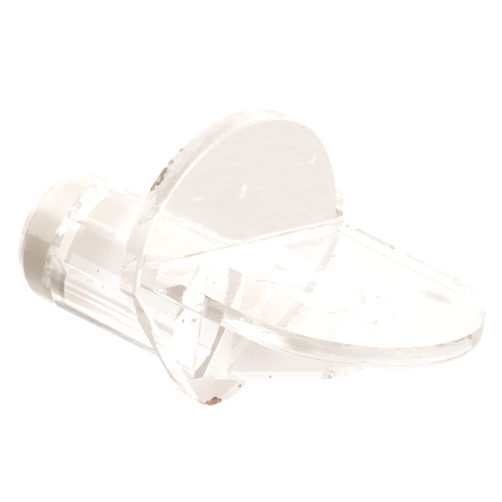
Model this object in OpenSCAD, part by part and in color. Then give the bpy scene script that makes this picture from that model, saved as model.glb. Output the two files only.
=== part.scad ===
// Shelf support pin for a drilled cabinet side, moulded in one piece of clear plastic.
// The axis of the peg runs along X and meets the back face of the plate at the origin.
// The peg points to -X, into the cabinet side. The tongue points to +X, and its flat
// top carries the shelf. +Z is up.

/* [Peg] */
// Diameter of the plain shank, easy in a 6.35 mm hole
peg_d = 6.2; // [5.6:0.05:6.8]
// Length of the peg behind the plate
peg_l = 9.8; // [7:0.1:14]
// Length of the chamfer at the tip
tip_chamfer_l = 0.7; // [0.2:0.05:1.2]
// Depth of the chamfer at the tip
tip_chamfer_h = 0.35; // [0.1:0.05:0.8]

/* [Crush ribs] */
// Number of half-round ribs around the peg
rib_count = 8; // [4:1:12]
// Radius of the round back of a rib
rib_r = 0.3; // [0.2:0.02:0.45]
// Height of a rib above the shank
rib_proud = 0.15; // [0.08:0.01:0.25]
// Distance from the tip of the peg to the point of a rib
rib_setback = 1.7; // [1.3:0.05:4]
// Length of the pointed end of a rib
rib_point_l = 0.8; // [0.4:0.05:1.6]

/* [Plate] */
// Radius of the round top of the plate, half its width
arch_r = 6.6; // [5.8:0.1:9]
// Thickness of the plate
plate_t = 1.2; // [0.9:0.05:2]
// Height of the centre of the round top above the axis of the peg
arch_rise = 3; // [2:0.1:4.5]
// Depth of the shoulders below the centre of the round top
shoulder_drop = 0.9; // [0.3:0.05:1.5]
// Depth of the foot below the axis of the peg
foot_drop = 4.35; // [4.2:0.05:6]
// Radius of the round foot
foot_r = 2.4; // [2.2:0.1:3]
// Small chamfer along the front edge of the rim
rim_chamfer = 0.12; // [0.05:0.01:0.2]

/* [Tongue] */
// Length of the tongue in front of the plate
tongue_l = 12.8; // [11:0.1:20]
// Thickness of the tongue
tongue_t = 1.2; // [0.9:0.05:2]
// Height of the top of the tongue above the axis of the peg
tongue_top = 3.6; // [3.3:0.05:4.2]
// Radius of the round nose in plan
nose_r = 6.3; // [4.5:0.1:6.4]
// Radius of the rounded lower edge
lower_edge_r = 0.4; // [0.1:0.05:0.7]
// Radius of the fillets where the tongue leaves the plate
root_fillet_r = 0.25; // [0.1:0.05:0.5]
// Step from the rim of the plate in to each side of the tongue
side_step = 0.08; // [0.05:0.01:0.4]

/* [Web] */
// Width of the web under the tongue
web_t = 4.2; // [3.4:0.1:4.6]
// Length of the web from the front of the plate
web_l = 8.85; // [7.5:0.05:9.5]
// Depth of the root of the web below the axis of the peg
web_drop = 2.7; // [2:0.05:3]
// Radius of the nose of the web, seen from above
web_nose_r = 2.45; // [2.4:0.05:3]
// Radius at which the lower edge of the web turns up at its end
web_end_r = 1.2; // [0.8:0.05:2]
// Height of the centre of that turn above the axis of the peg
web_end_rise = 1.5; // [1.2:0.05:1.7]
// Radius of the small fillets round the root of the web
web_fillet_r = 0.15; // [0.05:0.05:0.2]

/* [Hidden] */
$fn = 96;
lap = 0.3;               // how far joined shapes run into each other
cut = 1;                 // how far cutters run past a face
far = 40;                // reach of the half-planes that bound an outline
hair = 0.02;             // how much closer than a tangent a side passes to a round end

rib_l = peg_l - rib_setback;
rib_axis_r = peg_d / 2 + rib_proud - rib_r;

shoulder = [sqrt(arch_r * arch_r - shoulder_drop * shoulder_drop), arch_rise - shoulder_drop];
foot_centre = [0, foot_r - foot_drop];
shoulder_angle = atan2(-shoulder_drop, shoulder[0]);
foot_angle = touch_angle(shoulder, foot_centre, foot_r - hair);
foot_touch = foot_centre + polar(foot_r - hair, foot_angle);

tongue_bottom = tongue_top - tongue_t;
root_half_w = min(plate_half_w(tongue_top), plate_half_w(tongue_bottom)) - side_step;
nose_centre = [tongue_l - nose_r, 0];
nose_angle = touch_angle([0, root_half_w], nose_centre, nose_r - hair);
nose_touch = nose_centre + polar(nose_r - hair, nose_angle);

web_end_centre = [web_l + 3 * hair - web_end_r, web_end_rise];
web_end_angle = -touch_angle([0, web_drop], [web_end_centre[0], -web_end_centre[1]], web_end_r - hair);
web_slope = web_end_angle + 90;

// Direction from the centre of a circle to where a line from p touches it, clockwise from p
function touch_angle(p, centre, r) =
    atan2(p[1] - centre[1], p[0] - centre[0]) - acos(r / norm(p - centre));

function polar(r, angle) = r * [cos(angle), sin(angle)];

// Half the width of the plate at height z above the axis of the peg
function plate_half_w(z) =
    z >= shoulder[1]
    ? sqrt(arch_r * arch_r - pow(z - arch_rise, 2))
    : shoulder[0] + (z - shoulder[1]) * (foot_touch[0] - shoulder[0]) / (foot_touch[1] - shoulder[1]);

// Turns a drawing of Y across and Z up into a slab that grows along +X
module along_x() {
    rotate([90, 0, 90]) children();
}

// Turns a drawing of X across and Z up into a slab centred on the XZ plane
module across_y(width) {
    rotate([90, 0, 0]) linear_extrude(width, center = true) children();
}

// Corner filler with one concave round, between the axes of its own drawing
module fillet_shape(r) {
    difference() {
        translate([-lap, -lap]) square(r + lap);
        translate([r, r]) circle(r);
    }
}

// Rounds off the lower right corner of a drawing at the origin
module corner_cutter(r) {
    difference() {
        translate([-r, -cut]) square(r + cut);
        translate([-r, r]) circle(r);
    }
}

// Section through the edge of the tongue, which lies to the left of x = 0
module tongue_edge_section(depth) {
    difference() {
        translate([-depth, 0]) square([depth, tongue_t]);
        corner_cutter(lower_edge_r);
    }
}

// Section of the material that a chamfer takes off the lower right corner at the origin
module chamfer_section(c) {
    polygon([[-c - cut, -cut], [cut, c + cut], [cut, -cut]]);
}

// Plain shank with a chamfered tip, drawn up from the plate
module shank() {
    body_l = peg_l - tip_chamfer_l;
    translate([0, 0, -lap]) cylinder(h = body_l + lap, d = peg_d);
    translate([0, 0, body_l])
        cylinder(h = tip_chamfer_l, d1 = peg_d, d2 = peg_d - 2 * tip_chamfer_h);
}

// One half-round rib with a pointed end
module crush_rib() {
    translate([rib_axis_r, 0, -lap]) cylinder(h = rib_l - rib_point_l + lap, r = rib_r);
    translate([rib_axis_r, 0, rib_l - rib_point_l]) cylinder(h = rib_point_l, r1 = rib_r, r2 = 0);
}

// The seam of the shank runs midway between two ribs, and one rib is on top
module peg() {
    step = 360 / rib_count;
    rotate([0, -90, 0]) {
        rotate(step / 2) shank();
        for (i = [0 : rib_count - 1])
            rotate(i * step) crush_rib();
    }
}

// All that lies above two rays from a centre, the right one at this angle, the left one its mirror
module above_rays(centre, angle) {
    right = centre + polar(far, angle);
    polygon([centre, right, right + [0, 2 * far], [-right[0], right[1] + 2 * far], [-right[0], right[1]]]);
}

// All that lies below and between two lines through p and q on the right, and their mirror images
module between_lines(p, q) {
    run = far * (q - p) / norm(q - p);
    polygon([p - run, q + run, [-q[0], q[1]] + [-run[0], run[1]], [-p[0], p[1]] - [-run[0], run[1]]]);
}

// Outline of the plate: round top, sloping sides below the shoulders, round foot
module plate_outline() {
    intersection() {
        union() {
            translate([0, arch_rise]) circle(arch_r);
            translate([-far, -far]) square([2 * far, far]);
        }
        union() {
            translate(foot_centre) circle(foot_r);
            above_rays(foot_centre, foot_angle);
        }
        between_lines(shoulder, foot_touch);
    }
}

// Small chamfer along the rim, for a plate that lies on its front face
module rim_cutter() {
    past_shoulder = 15;
    run = foot_touch - shoulder;
    translate([0, arch_rise]) rotate(shoulder_angle - past_shoulder)
        rotate_extrude(angle = 180 + 2 * (past_shoulder - shoulder_angle))
            translate([arch_r, 0]) chamfer_section(rim_chamfer);
    for (i = [0, 1]) mirror([i, 0, 0]) translate(shoulder - run) rotate(atan2(run[1], run[0]))
        along_x() linear_extrude(3 * norm(run)) chamfer_section(rim_chamfer);
    translate(foot_centre) rotate(180 - foot_angle) rotate_extrude(angle = 180 + 2 * foot_angle)
        translate([foot_r, 0]) chamfer_section(rim_chamfer);
}

module plate() {
    along_x() difference() {
        linear_extrude(plate_t) plate_outline();
        translate([0, 0, plate_t]) mirror([0, 0, 1]) rim_cutter();
    }
}

// Slab with a rounded lower edge on its left side, which runs from p to q and past both
module side_slab(p, q) {
    translate(p) rotate(atan2(q[1] - p[1], q[0] - p[0])) along_x() translate([0, 0, -far])
        linear_extrude(2 * far) tongue_edge_section(far);
}

// Sides that taper a little and a round nose, all with the same lower edge
module tongue() {
    root = [0, root_half_w];
    translate([plate_t, 0, tongue_bottom]) intersection() {
        side_slab(root, nose_touch);
        mirror([0, 1, 0]) side_slab(root, nose_touch);
        union() {
            translate(nose_centre) rotate_extrude() intersection() {
                square(far);
                translate([nose_r, 0]) tongue_edge_section(far);
            }
            linear_extrude(tongue_t) polygon([
                nose_centre,
                nose_centre + polar(far, nose_angle),
                [-lap, far],
                [-lap, -far],
                nose_centre + polar(far, -nose_angle)
            ]);
        }
    }
}

// Fillets across the plate, above and below the root of the tongue
module root_fillets() {
    r = root_fillet_r;
    w_top = min(plate_half_w(tongue_top + r) - rim_chamfer, root_half_w);
    w_bottom = min(plate_half_w(tongue_bottom - r) - rim_chamfer, root_half_w - lower_edge_r);
    translate([plate_t, 0, tongue_top]) across_y(2 * w_top) fillet_shape(r);
    translate([plate_t, 0, tongue_bottom]) mirror([0, 0, 1]) across_y(2 * w_bottom) fillet_shape(r);
}

// Plan of the web: a strip with a rounded nose, flared where it leaves the plate
module web_plan() {
    half_w = web_t / 2;
    nose_x = web_l - web_nose_r;
    translate([-lap, -half_w]) square([nose_x + lap, web_t]);
    intersection() {
        translate([nose_x, 0]) circle(web_nose_r);
        translate([0, -half_w]) square([far, web_t]);
    }
    for (side = [0, 1]) mirror([0, side]) translate([0, half_w]) fillet_shape(web_fillet_r);
}

// Side view of the web: a sloping lower edge that flares at the plate and turns up at the end
module web_side() {
    touch = web_end_centre + polar(web_end_r - hair, web_end_angle);
    run = polar(far, web_slope);
    root = [0, -web_drop];
    r = web_fillet_r;
    flare = [r, -web_drop - (r - hair - r * sin(web_slope)) / cos(web_slope)];
    intersection() {
        union() {
            polygon([root - run, touch + run, [far, far], [-far, far]]);
            difference() {
                polygon([
                    [-lap, -web_drop + lap],
                    [-lap, flare[1]],
                    flare,
                    flare + polar(r + lap, web_slope + 90)
                ]);
                translate(flare) circle(r);
            }
        }
        union() {
            translate(web_end_centre) circle(web_end_r);
            polygon([
                web_end_centre,
                web_end_centre + [far, 0],
                [far, far],
                [-far, far],
                [-far, -far],
                web_end_centre + polar(far, web_end_angle)
            ]);
        }
    }
}

module web() {
    translate([plate_t, 0, 0]) intersection() {
        translate([0, 0, -far]) linear_extrude(far + tongue_bottom + lap) web_plan();
        across_y(2 * web_t) web_side();
    }
}

module shelf_support_pin() {
    color([0.96, 0.95, 0.93, 0.4]) union() {
        peg();
        plate();
        tongue();
        root_fillets();
        web();
    }
}

shelf_support_pin();
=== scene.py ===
# %% [markdown]
# # A clear plastic shelf support pin
#
# This small pin is pushed into a drilled hole in the side of a cabinet, and its flat
# tongue carries a shelf. The whole pin is one moulding of clear plastic. Its solid shape,
# with its small chamfers and fillets, is already exact, so this lesson is about the finish:
# how clear, slightly worn plastic is built from a few nodes, and how soft light makes such
# a thing readable. The solid has no modifiers, because a bevel on triangles this fine
# shrinks to nothing, or folds over itself where the ribs end.

# %% Load the solid
import math
import bpy
from mathutils import Matrix, Vector


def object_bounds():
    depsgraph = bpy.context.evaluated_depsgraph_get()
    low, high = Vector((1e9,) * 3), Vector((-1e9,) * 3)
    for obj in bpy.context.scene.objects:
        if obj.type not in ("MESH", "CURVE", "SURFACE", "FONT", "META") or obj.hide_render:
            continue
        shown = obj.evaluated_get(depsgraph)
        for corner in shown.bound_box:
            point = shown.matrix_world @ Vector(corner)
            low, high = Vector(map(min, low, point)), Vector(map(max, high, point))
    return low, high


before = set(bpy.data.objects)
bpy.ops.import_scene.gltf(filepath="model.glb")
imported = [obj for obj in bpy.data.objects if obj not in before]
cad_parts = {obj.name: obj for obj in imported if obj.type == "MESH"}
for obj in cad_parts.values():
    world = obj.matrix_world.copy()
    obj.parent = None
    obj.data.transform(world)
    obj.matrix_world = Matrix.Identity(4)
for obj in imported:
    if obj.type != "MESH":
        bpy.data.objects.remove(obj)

solid_box = [list(corner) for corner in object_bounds()]
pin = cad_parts["shelf_support_pin"]
scene = bpy.context.scene
MM = 0.001
print("pin:", len(pin.data.polygons), "faces, box", solid_box)

# %% [markdown]
# ## Camera
#
# The pin is seen from in front, a little from the left and from above, through a long
# lens, so its edges stay almost parallel. The camera is tilted nine degrees about its own
# axis. Its place is built from two angles, and a matrix holds its three directions. The
# lens follows from a focal length and an image width that are both counted in pixels.

# %% Camera
AZIMUTH = math.radians(41.2)
ELEVATION = math.radians(20.5)
ROLL = math.radians(9.0)
DISTANCE = 660 * MM
AIM = Vector((0, 1.934, 2.43)) * MM
SENSOR = 36
FOCAL_PIXELS = 14620
IMAGE_PIXELS = 502
LENS = SENSOR * FOCAL_PIXELS / IMAGE_PIXELS
CLIP_START, CLIP_END = 0.01, 10

away = Vector((
    math.sin(AZIMUTH) * math.cos(ELEVATION),
    -math.cos(AZIMUTH) * math.cos(ELEVATION),
    math.sin(ELEVATION),
))
level_right = Vector((math.cos(AZIMUTH), math.sin(AZIMUTH), 0))
level_up = away.cross(level_right)
right = math.cos(ROLL) * level_right + math.sin(ROLL) * level_up
up = math.cos(ROLL) * level_up - math.sin(ROLL) * level_right

camera_data = bpy.data.cameras.new("camera")
camera_data.lens = LENS
camera_data.sensor_width = SENSOR
camera_data.clip_start = CLIP_START
camera_data.clip_end = CLIP_END
camera = bpy.data.objects.new("camera", camera_data)
scene.collection.objects.link(camera)
view_matrix = Matrix((right, up, away)).transposed().to_4x4()
view_matrix.translation = AIM + away * DISTANCE
camera.matrix_world = view_matrix
scene.camera = camera
print("camera at", [round(c, 3) for c in camera.location], "lens", round(LENS))

# %% [markdown]
# ## Node helpers
#
# Materials and the room are both built from nodes. These small functions add a node, set its
# values and link it, so that each effect below stays a few lines long.

# %% Node helpers
def new_node(tree, kind, props=None, **values):
    """Adds a node, then sets its properties and the named inputs."""
    node = tree.nodes.new(kind)
    for name, value in (props or {}).items():
        setattr(node, name, value)
    for name, value in values.items():
        node.inputs[name.replace("_", " ")].default_value = value
    return node


def feed(tree, socket, value):
    """Links an output socket to an input, or writes a plain value into it."""
    if isinstance(value, bpy.types.NodeSocket):
        tree.links.new(value, socket)
    else:
        socket.default_value = value


def maths(tree, operation, first, second=0.0, third=0.0):
    """A Math node with any mix of sockets and plain numbers."""
    node = new_node(tree, "ShaderNodeMath", {"operation": operation})
    for socket, value in zip(node.inputs, (first, second, third)):
        feed(tree, socket, value)
    return node.outputs[0]


print("helpers that add, link and calculate")

# %% Helpers for ranges and colours
def fade(tree, value, start, end):
    """Runs smoothly from 0 at start to 1 at end. The start may be above the end."""
    node = new_node(tree, "ShaderNodeMapRange", {"interpolation_type": "SMOOTHSTEP"})
    feed(tree, node.inputs["Value"], value)
    feed(tree, node.inputs["From Min"], start)
    feed(tree, node.inputs["From Max"], end)
    return node.outputs["Result"]


def spread(tree, value, low, high):
    """Maps a value of 0 to 1 onto a range."""
    node = new_node(tree, "ShaderNodeMapRange")
    feed(tree, node.inputs["Value"], value)
    feed(tree, node.inputs["To Min"], low)
    feed(tree, node.inputs["To Max"], high)
    return node.outputs["Result"]


def blend(tree, amount, first, second):
    """Mixes two colours."""
    node = new_node(tree, "ShaderNodeMix", {"data_type": "RGBA"})
    colours = [socket for socket in node.inputs if socket.type == "RGBA"]
    for socket, value in zip((node.inputs[0], *colours), (amount, first, second)):
        feed(tree, socket, (*value, 1) if isinstance(value, tuple) else value)
    return [socket for socket in node.outputs if socket.type == "RGBA"][0]


print("helpers that fade, spread and blend")

# %% [markdown]
# ## Studio
#
# Clear plastic has next to no colour of its own: it shows the room, bent and mirrored. So
# the room is the paint. Lamps would put hard glints on the pin, and in an all-white room it
# would vanish. A white room with a few broad brown zones near the horizon gives its edges a
# tone, and a brighter patch behind the pin, mirrored at a low angle, whitens the top of the
# tongue. Each zone is a direction and a half-angle, and a dot product measures how near a
# ray comes to it. A zone has its full tone in its core and fades out towards its edge.

# %% Room
WHITE = (1.0, 1.0, 1.0)
ROOM_WHITE = (1.0, 0.994, 0.988)
ZONE_CORE = 0.3
ROOM_ZONES = (
    # azimuth and elevation in degrees, half-angle in degrees, colour
    (0, 90, 60, (1.06, 1.05, 1.04)),
    (90, 12, 45, (0.66, 0.61, 0.56)),
    (128, -5, 34, (0.68, 0.61, 0.55)),
    (-75, -5, 34, (0.78, 0.71, 0.65)),
    (-116, 14, 22, (0.78, 0.71, 0.65)),
    (-172, 5, 29, (0.6, 0.52, 0.45)),
    (-141, 27, 25, (1.6, 1.6, 1.62)),
)


def heading(azimuth, elevation):
    """The direction at an azimuth from -Y towards +X and an elevation, in degrees."""
    turn, lift = math.radians(azimuth), math.radians(elevation)
    level = math.cos(lift)
    return Vector((math.sin(turn) * level, -math.cos(turn) * level, math.sin(lift)))


world = bpy.data.worlds.new("soft_white_room")
world.use_nodes = True
scene.world = world
room = world.node_tree
outlook = new_node(room, "ShaderNodeTexCoord").outputs["Generated"]
colour = ROOM_WHITE
for azimuth, elevation, half_angle, tone in ROOM_ZONES:
    nearness = new_node(room, "ShaderNodeVectorMath", {"operation": "DOT_PRODUCT"})
    feed(room, nearness.inputs[0], outlook)
    feed(room, nearness.inputs[1], heading(azimuth, elevation))
    edge, core = (math.cos(math.radians(half_angle * share)) for share in (1, ZONE_CORE))
    colour = blend(room, fade(room, nearness.outputs["Value"], edge, core), colour, tone)
rays = new_node(room, "ShaderNodeLightPath")
colour = blend(room, rays.outputs["Is Camera Ray"], colour, WHITE)
feed(room, room.nodes["Background"].inputs["Color"], colour)
print("room:", len(ROOM_ZONES), "soft zones")

# %% [markdown]
# ## Floor
#
# The pin is held by its hole and rests on nothing, so a pale round floor lies well under it,
# where the pin's shadow has spread out to almost nothing. The plastic shows this floor bent
# through its plate and its web, and a floor close by would draw hard edges in them. Its tone
# is therefore almost white under the pin and a little browner further out, with a soft
# change between. A faint glow makes it white for rays from the camera and from the plastic
# alone, so it adds no light of its own to the room.

# %% Floor
FLOOR_Z = -40 * MM
FLOOR_RADIUS = 170 * MM
FLOOR_CORNERS = 64
FLOOR_TONE = (0.88, 0.875, 0.87)
FLOOR_FAR_TONE = (0.71, 0.685, 0.662)
TONE_CHANGE = (70 * MM, 98 * MM)
FLOOR_GLOW = 0.26

bpy.ops.object.select_all(action="DESELECT")
bpy.ops.mesh.primitive_circle_add(
    vertices=FLOOR_CORNERS,
    radius=FLOOR_RADIUS,
    fill_type="NGON",
    location=(0, 0, FLOOR_Z),
)
floor = bpy.context.object
floor.name = "floor"
bpy.ops.object.transform_apply(location=True)
print("floor", FLOOR_Z / MM, "mm from the peg's axis")

# %% Floor paint
FLOOR_ROUGHNESS = 0.9
FLOOR_SHINE = 0.1
floor_paint = bpy.data.materials.new("pale_floor")
floor_paint.use_nodes = True
floor.data.materials.append(floor_paint)
tree = floor_paint.node_tree
matt = tree.nodes["Principled BSDF"]
matt.inputs["Roughness"].default_value = FLOOR_ROUGHNESS
matt.inputs["Specular IOR Level"].default_value = FLOOR_SHINE

rays = new_node(tree, "ShaderNodeLightPath").outputs
reach = new_node(tree, "ShaderNodeVectorMath", {"operation": "LENGTH"})
feed(tree, reach.inputs[0], new_node(tree, "ShaderNodeTexCoord").outputs["Object"])
far = fade(tree, reach.outputs["Value"], *TONE_CHANGE)
far = maths(tree, "MULTIPLY", far, maths(tree, "SUBTRACT", 1.0, rays["Is Camera Ray"]))
tone = blend(tree, far, FLOOR_TONE, FLOOR_FAR_TONE)
feed(tree, matt.inputs["Base Color"], tone)

in_plastic = maths(tree, "MAXIMUM", rays["Is Transmission Ray"], rays["Is Glossy Ray"])
seen = maths(tree, "MAXIMUM", rays["Is Camera Ray"], in_plastic)
glow = new_node(tree, "ShaderNodeEmission")
feed(tree, glow.inputs["Color"], tone)
feed(tree, glow.inputs["Strength"], maths(tree, "MULTIPLY", seen, FLOOR_GLOW))
lit = new_node(tree, "ShaderNodeAddShader")
feed(tree, lit.inputs[0], matt.outputs[0])
feed(tree, lit.inputs[1], glow.outputs[0])
feed(tree, tree.nodes["Material Output"].inputs["Surface"], lit.outputs[0])
print("floor tones", FLOOR_TONE, "to", FLOOR_FAR_TONE)

# %% [markdown]
# ## Clear plastic
#
# Clear plastics bend light by an index from 1.49, as acrylic does, to about 1.59, as
# polystyrene does. Which one this pin is made of isn't known, and the lower index is used.
# Glass in Blender is a Principled shader with its Transmission Weight at one. Anything less
# would put a grey veil inside the pin, because light that goes round many times would meet
# it many times. It does go round: each turn counts as a glossy or a transmission bounce, so
# both kinds need far more bounces than Blender gives them at first, or trapped light turns
# black.

# %% Clear plastic
PLASTIC_INDEX = 1.49
LIGHT_TURNS = 48
for kind in ("max_bounces", "transmission_bounces", "glossy_bounces"):
    setattr(scene.cycles, kind, LIGHT_TURNS)

plastic = bpy.data.materials.new("clear_plastic")
plastic.use_nodes = True
pin.material_slots[0].material = plastic
tree = plastic.node_tree
shader = tree.nodes["Principled BSDF"]
shader.inputs["IOR"].default_value = PLASTIC_INDEX
shader.inputs["Transmission Weight"].default_value = 1.0
print("plastic index", PLASTIC_INDEX, "with", LIGHT_TURNS, "turns of light")

# %% [markdown]
# ## Places on the pin
#
# Nicks, dirt, painted shade and painted highlights each sit at a known place. They could be
# painted on an image, but a place worked out from Object coordinates needs no unwrapping and
# stays sharp at any size.
# The coordinates are scaled to millimetres and split into three: along the peg, across the
# plate and height. A mask is then a value from 0 to 1 made from them. A spot is an
# ellipsoid round a centre, and noise shifts its edge in and out, so it isn't a neat oval.

# %% Places
in_mm = new_node(tree, "ShaderNodeVectorMath", {"operation": "SCALE"}, Scale=1 / MM)
feed(tree, in_mm.inputs[0], new_node(tree, "ShaderNodeTexCoord").outputs["Object"])
place = in_mm.outputs[0]
axes = new_node(tree, "ShaderNodeSeparateXYZ")
feed(tree, axes.inputs[0], place)
along, across, height = axes.outputs


def both(*masks):
    """A mask that is 1 where all the given masks are."""
    overlap = masks[0]
    for mask in masks[1:]:
        overlap = maths(tree, "MULTIPLY", overlap, mask)
    return overlap


def between(value, low, high, soft=0.03):
    """A mask that is 1 where a value lies between two limits, in millimetres."""
    rise = fade(tree, value, low - soft, low + soft)
    fall = fade(tree, value, high + soft, high - soft)
    return both(rise, fall)


print("places in millimetres, from", [round(c / MM, 2) for c in solid_box[0]])

# %% Noise and spots
NOISE_MIDDLE = 0.5
SPOT_EDGE = 1.1


def noise(scale, detail=2.0, stretch=(1, 1, 1), turn=(0, 0, 0), seed=0.0):
    """Noise over the pin. The scale is in waves to a millimetre."""
    shift = (seed, seed, seed)
    mapping = new_node(tree, "ShaderNodeMapping", Scale=stretch, Rotation=turn, Location=shift)
    feed(tree, mapping.inputs["Vector"], place)
    texture = new_node(tree, "ShaderNodeTexNoise", Scale=scale, Detail=detail)
    feed(tree, texture.inputs["Vector"], mapping.outputs[0])
    return texture.outputs[0]


blotchy = maths(tree, "SUBTRACT", noise(6.0, detail=4.0, seed=2.0), NOISE_MIDDLE)


def spot(centre, radii, ragged, core=0.8):
    """A spot: 1 inside its core, 0 past its edge. Both are shares of its radii."""
    offset = new_node(tree, "ShaderNodeVectorMath", {"operation": "SUBTRACT"})
    scaled = new_node(tree, "ShaderNodeVectorMath", {"operation": "DIVIDE"})
    gap = new_node(tree, "ShaderNodeVectorMath", {"operation": "LENGTH"})
    feed(tree, offset.inputs[0], place)
    feed(tree, offset.inputs[1], centre)
    feed(tree, scaled.inputs[0], offset.outputs[0])
    feed(tree, scaled.inputs[1], radii)
    feed(tree, gap.inputs[0], scaled.outputs[0])
    reach = maths(tree, "MULTIPLY_ADD", blotchy, ragged, gap.outputs["Value"])
    return fade(tree, reach, SPOT_EDGE, core)


print("noise and spots ready,", len(tree.nodes), "nodes")

# %% [markdown]
# ## Parts of the pin
#
# The whole pin is one solid with one material, so its parts are told apart by place. The
# rim is the narrow band round the plate, and the front edge is the small chamfer beside it.
# The limits of the rim and of the tongue's side lie a few hundredths of a millimetre inside
# them, so that no tone spills over an edge. The mask of the plate's front reaches a little
# beyond it, where there is next to no plastic to mark.

# %% Parts
PEG_TIP = solid_box[0][0] / MM
PLATE_THICKNESS = 1.2
PLATE_CHAMFER = 0.12
TONGUE_TOP = 3.6
TONGUE_BOTTOM = 2.4
HAIR = 0.03
RIM_MARGIN = 0.06
FRONT_REACH = 0.1
FRONT_FADE = 0.05
TONGUE_SIDE_BOTTOM = 3.0
TONGUE_START = (1.5, 2.5)
PEG_START = (0.0, -0.1)

chamfer_start = PLATE_THICKNESS - PLATE_CHAMFER
chamfer_end = PLATE_THICKNESS - HAIR
rim = between(along, RIM_MARGIN, chamfer_start - RIM_MARGIN)
front_edge = between(along, chamfer_start - 0.01, chamfer_end, soft=0.02)
above_tongue = fade(tree, height, TONGUE_TOP - FRONT_FADE, TONGUE_TOP + FRONT_FADE)
plate_front = both(between(along, chamfer_end, PLATE_THICKNESS + FRONT_REACH), above_tongue)
peg = fade(tree, along, *PEG_START)
side_band = between(height, TONGUE_SIDE_BOTTOM, TONGUE_TOP - HAIR, soft=0.06)
tongue_side = both(side_band, fade(tree, along, *TONGUE_START))
print("parts marked, peg tip at", round(PEG_TIP, 2))

# %% [markdown]
# ## Surface
#
# Plastic that has flowed into a mould keeps faint lines of flow, here on the plate, and the
# peg keeps lines along its length from sliding out of the mould. They are far too fine to
# model, so a Bump node tilts the shading, as a relief of a few thousandths of a millimetre
# would. Noise that is stretched along one axis draws lines, and plain noise gives the slow
# ripple of a cheap moulding. The rim and the front edge are a touch rougher than the faces.

# %% Surface
RELIEF_DEPTH = 0.006 * MM
FLOW_TURN = math.radians(-6)
FLOW_CONTRAST = (0.42, 0.62)
FLOW_HEIGHT = 0.12
SLIDE_HEIGHT = 0.9
FACE_ROUGHNESS = (0.0, 0.06)
RIM_ROUGHNESS = 0.03
EDGE_ROUGHNESS = 0.15

flow_lines = noise(2.2, detail=5.0, stretch=(1, 0.25, 8.0), turn=(FLOW_TURN, 0, 0))
flow = both(fade(tree, flow_lines, *FLOW_CONTRAST), plate_front)
slid = both(noise(1.0, detail=3.0, stretch=(0.1, 3.0, 3.0), seed=7.0), peg)
ripple = noise(1.6)
relief = maths(tree, "MULTIPLY_ADD", flow, FLOW_HEIGHT, ripple)
relief = maths(tree, "MULTIPLY_ADD", slid, SLIDE_HEIGHT, relief)
bump = new_node(tree, "ShaderNodeBump", Strength=1.0, Distance=RELIEF_DEPTH)
feed(tree, bump.inputs["Height"], relief)
feed(tree, shader.inputs["Normal"], bump.outputs[0])

roughness = spread(tree, noise(0.7, detail=3.0, seed=4.0), *FACE_ROUGHNESS)
roughness = maths(tree, "MULTIPLY_ADD", rim, RIM_ROUGHNESS, roughness)
roughness = maths(tree, "MULTIPLY_ADD", front_edge, EDGE_ROUGHNESS, roughness)
print("relief", RELIEF_DEPTH / MM, "mm deep")

# %% [markdown]
# ## Tint and painted shade
#
# The plastic has a faint warm tint. Painted shade makes it browner where the pin shows shade:
# on the rim, on the upper part of the tongue's sides, in the corner under the tongue, and on
# the end and the underside of the peg, less towards its top. Light takes part of the tint each
# time it crosses the surface, so a tone in one place is given a stronger colour than the one
# it shows, and all these colours were found by trial. The chamfers are left untinted, so they
# stay white, as part of their painted highlight. All limits are in millimetres.

# %% Tint and painted shade
PLASTIC_TINT = (0.98, 0.968, 0.955)
FLOW_STRENGTH = 0.8

# painted shade in the corner where the web meets the tongue, on its near side
under_tongue_shade = both(
    between(height, TONGUE_BOTTOM - 0.2, TONGUE_BOTTOM - 0.015, soft=0.01),
    fade(tree, along, 1.4, 1.6),
    fade(tree, across, -1.2, -0.6),
)
# painted shade at the end of the peg, from its chamfer back, and less towards its top
peg_end_shade = both(
    fade(tree, along, PEG_TIP + 3.6, PEG_TIP + 1.4),
    fade(tree, along, PEG_TIP + 0.3, PEG_TIP + 0.45),
    fade(tree, height, 2.4, 0.4),
)
# painted shade on the underside of the peg, on its near side and in streaks along it
streaks = fade(tree, noise(1.0, stretch=(0.06, 2.5, 2.5), seed=9.0), 0.4, 0.6)
peg_below_shade = both(
    peg,
    fade(tree, across, -1.6, -2.4),
    fade(tree, height, 0.2, -1.0),
    spread(tree, streaks, 0.3, 1.0),
)
tip_chamfer = fade(tree, along, PEG_TIP + 0.52, PEG_TIP + 0.4)

TINTS_AND_PAINTED_SHADE = (
    # where it sits, its colour
    (maths(tree, "MULTIPLY", flow, FLOW_STRENGTH), (0.92, 0.88, 0.845)),
    # painted shade: the peg's end and underside, the rim, the tongue's sides and the corner
    # under it
    (peg_end_shade, (0.72, 0.65, 0.58)),
    (peg_below_shade, (0.36, 0.315, 0.275)),
    (rim, (0.83, 0.78, 0.735)),
    (tongue_side, (0.82, 0.77, 0.72)),
    (under_tongue_shade, (0.62, 0.5, 0.42)),
    # left untinted, as part of the front edge's painted highlight
    (front_edge, WHITE),
)
tint = PLASTIC_TINT
for mask, colour in TINTS_AND_PAINTED_SHADE:
    tint = blend(tree, mask, tint, colour)
print("tints:", len(TINTS_AND_PAINTED_SHADE))
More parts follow.
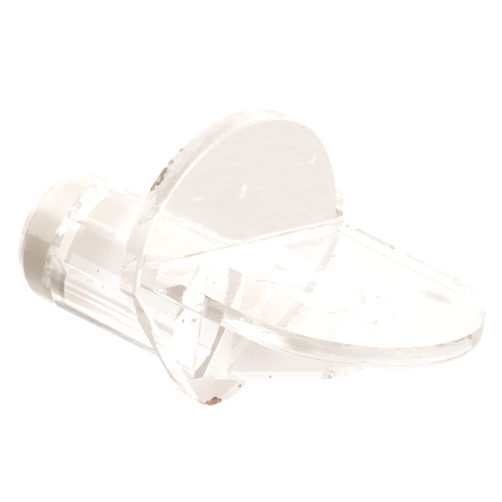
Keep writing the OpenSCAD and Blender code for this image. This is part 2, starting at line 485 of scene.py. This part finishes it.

# %% [markdown]
# ## Nicks and painted highlights
#
# Three small knocks on the plate are bruised: there the plastic is full of tiny cracks and
# looks white. Rough glass alone would turn dark, because it throws most of the light back
# inside. A very weak glow, kept to these marks, stands in for the light that the cracks
# scatter. The same glow paints a highlight along one side of the plate's front edge and on
# the tops of the crush ribs, and a fainter one on the chamfer of the tip.

# %% Nicks and painted highlights
NICKS = (
    # centre and radii in millimetres: two spots, then one, then two make the three knocks
    ((1.2, -0.55, 6.21), (0.1, 0.2, 0.34)),
    ((1.2, -0.62, 5.98), (0.1, 0.24, 0.1)),
    ((1.2, -3.61, 6.34), (0.1, 0.42, 0.07)),
    ((1.2, 3.84, 7.04), (0.1, 0.08, 0.24)),
    ((1.2, 3.7, 6.9), (0.1, 0.2, 0.06)),
)
NICK_RAGGED = 1.0
BRUISE_ROUGHNESS = 0.1
# where one side of the front edge and the rib tops get a painted highlight
HIGHLIGHT_SIDE = (-3.2, -4.2)
HIGHLIGHT_FOOT = (1.5, 0.5)
HIGHLIGHT_FOOT_SIDE = (-0.6, -1.4)
RIB_TOP = (3.17, 3.22)
RIB_HIGHLIGHT_PATCHES = (0.3, 0.6)
BRUISE_AND_HIGHLIGHT_GLOW = (0.08, 0.08, 0.08)
TIP_CHAMFER_HIGHLIGHT = (0.04, 0.042, 0.044)
BLACK = (0.0, 0.0, 0.0)

bruised = 0.0
for centre, radii in NICKS:
    bruised = maths(tree, "MAXIMUM", bruised, spot(centre, radii, NICK_RAGGED))
tint = blend(tree, bruised, tint, WHITE)
roughness = maths(tree, "MULTIPLY_ADD", bruised, BRUISE_ROUGHNESS, roughness)

# painted highlight along one side of the front edge and on the tops of the ribs
highlight_above = fade(tree, across, *HIGHLIGHT_SIDE)
highlight_below = both(fade(tree, height, *HIGHLIGHT_FOOT), fade(tree, across, *HIGHLIGHT_FOOT_SIDE))
front_edge_highlight = both(front_edge, maths(tree, "MAXIMUM", highlight_above, highlight_below))
squares = maths(tree, "MULTIPLY_ADD", across, across, maths(tree, "MULTIPLY", height, height))
radius = maths(tree, "SQRT", squares)
rib_crest_highlight = both(fade(tree, radius, *RIB_TOP), peg, fade(tree, ripple, *RIB_HIGHLIGHT_PATCHES))
print("spots in the nicks:", len(NICKS))

# %% White marks and painted highlights
white_marks_and_highlights = maths(tree, "MAXIMUM", bruised, front_edge_highlight)
white_marks_and_highlights = maths(tree, "MAXIMUM", white_marks_and_highlights, rib_crest_highlight)
# the nicks glow white; the tip chamfer, front edge and rib tops glow as painted highlights
glow_and_highlights = blend(tree, tip_chamfer, BLACK, TIP_CHAMFER_HIGHLIGHT)
glow_and_highlights = blend(tree, white_marks_and_highlights, glow_and_highlights, BRUISE_AND_HIGHLIGHT_GLOW)
feed(tree, shader.inputs["Emission Color"], glow_and_highlights)
shader.inputs["Emission Strength"].default_value = 1.0
print("white marks glow by", BRUISE_AND_HIGHLIGHT_GLOW[0], "at most")

# %% [markdown]
# ## Painted shade and dirt
#
# A used pin carries a few specks, a smudge near the tongue's nose, brown dirt on the rim and
# a dark stain on the foot, and soft brown patches of painted shade lie on the web, the foot
# and the peg. A smudge or patch has a small core and fades slowly, while dirt has a wide core
# and a ragged edge. Both only colour the surface, so one list holds them all, and a loop lays
# them on in turn.

# %% Painted shade and dirt
MARKS = (
    # centre and radii in millimetres, how ragged, core, colour
    ((9.87, 3.64, 3.6), (1.25, 0.7, 0.2), 0.5, 0.2, (0.6, 0.57, 0.54)),
    # painted shade on the web's near side
    ((4.0, -2.1, 0.6), (2.8, 0.3, 1.9), 0.5, 0.2, (0.79, 0.72, 0.665)),
    # painted shade on the foot, under the web
    ((1.2, 0.4, -3.7), (0.3, 2.3, 1.3), 0.5, 0.2, (0.82, 0.745, 0.69)),
    # painted shade on the peg's underside, near its tip
    ((-8.3, -2.9, -0.9), (1.8, 1.2, 1.8), 0.5, 0.2, (0.42, 0.35, 0.28)),
    ((0.05, -5.16, 7.1), (0.3, 0.3, 0.42), 1.8, 0.8, (0.2, 0.11, 0.06)),
    ((0.05, -5.13, 7.12), (0.16, 0.16, 0.22), 1.8, 0.8, (0.66, 0.52, 0.36)),
    ((0.05, -4.87, 7.45), (0.2, 0.2, 0.25), 1.8, 0.8, (0.25, 0.14, 0.08)),
    ((0.05, -5.42, 6.78), (0.15, 0.15, 0.25), 1.8, 0.8, (0.3, 0.2, 0.13)),
    ((0.05, -4.47, 7.83), (0.15, 0.15, 0.15), 1.8, 0.8, (0.5, 0.26, 0.18)),
    ((0.05, -3.9, 8.33), (0.12, 0.15, 0.12), 1.8, 0.8, (0.5, 0.3, 0.22)),
    ((1.2, -0.34, -4.14), (0.4, 0.34, 0.3), 0.7, 0.8, (0.09, 0.03, 0.015)),
    ((1.2, -0.76, -4.07), (0.3, 0.16, 0.12), 0.7, 0.8, (0.15, 0.04, 0.03)),
    ((1.2, 0.04, -4.12), (0.3, 0.16, 0.14), 0.7, 0.8, (0.2, 0.06, 0.04)),
    ((1.2, 1.27, -3.6), (0.1, 0.1, 0.08), 0.7, 0.8, (0.3, 0.12, 0.08)),
    ((1.2, 6.37, 4.62), (0.16, 0.16, 0.15), 1.5, 0.8, (0.3, 0.2, 0.15)),
    ((4.14, -4.93, 3.6), (0.06, 0.08, 0.1), 1.5, 0.8, (0.3, 0.2, 0.15)),
    ((5.2, -0.65, 3.6), (0.05, 0.07, 0.1), 1.5, 0.8, (0.3, 0.2, 0.15)),
    ((-4.53, -3.04, 0.61), (0.06, 0.1, 0.06), 1.5, 0.8, (0.5, 0.42, 0.36)),
    ((-3.9, -3.23, 0.1), (0.06, 0.1, 0.06), 1.5, 0.8, (0.5, 0.42, 0.36)),
    ((4.16, 2.77, 3.6), (0.06, 0.1, 0.1), 1.5, 0.8, (0.3, 0.2, 0.15)),
    ((1.2, -3.27, 0.37), (0.1, 0.08, 0.08), 1.5, 0.8, (0.3, 0.2, 0.15)),
    ((5.82, -2.1, -0.79), (0.08, 0.1, 0.06), 1.5, 0.8, (0.3, 0.2, 0.15)),
)
for centre, radii, ragged, core, colour in MARKS:
    tint = blend(tree, spot(centre, radii, ragged, core), tint, colour)
# the tip's chamfer is left untinted, as part of its painted highlight
tint = blend(tree, tip_chamfer, tint, WHITE)
feed(tree, shader.inputs["Base Color"], tint)
feed(tree, shader.inputs["Roughness"], roughness)
print("film and dirt marks:", len(MARKS))

# %% [markdown]
# ## View settings
#
# The Standard view shows colours as they are set, so a white of one stays white. The view
# that Blender starts with would turn the white room grey.

# %% View settings
scene.view_settings.view_transform = "Standard"
print("view:", scene.view_settings.view_transform)
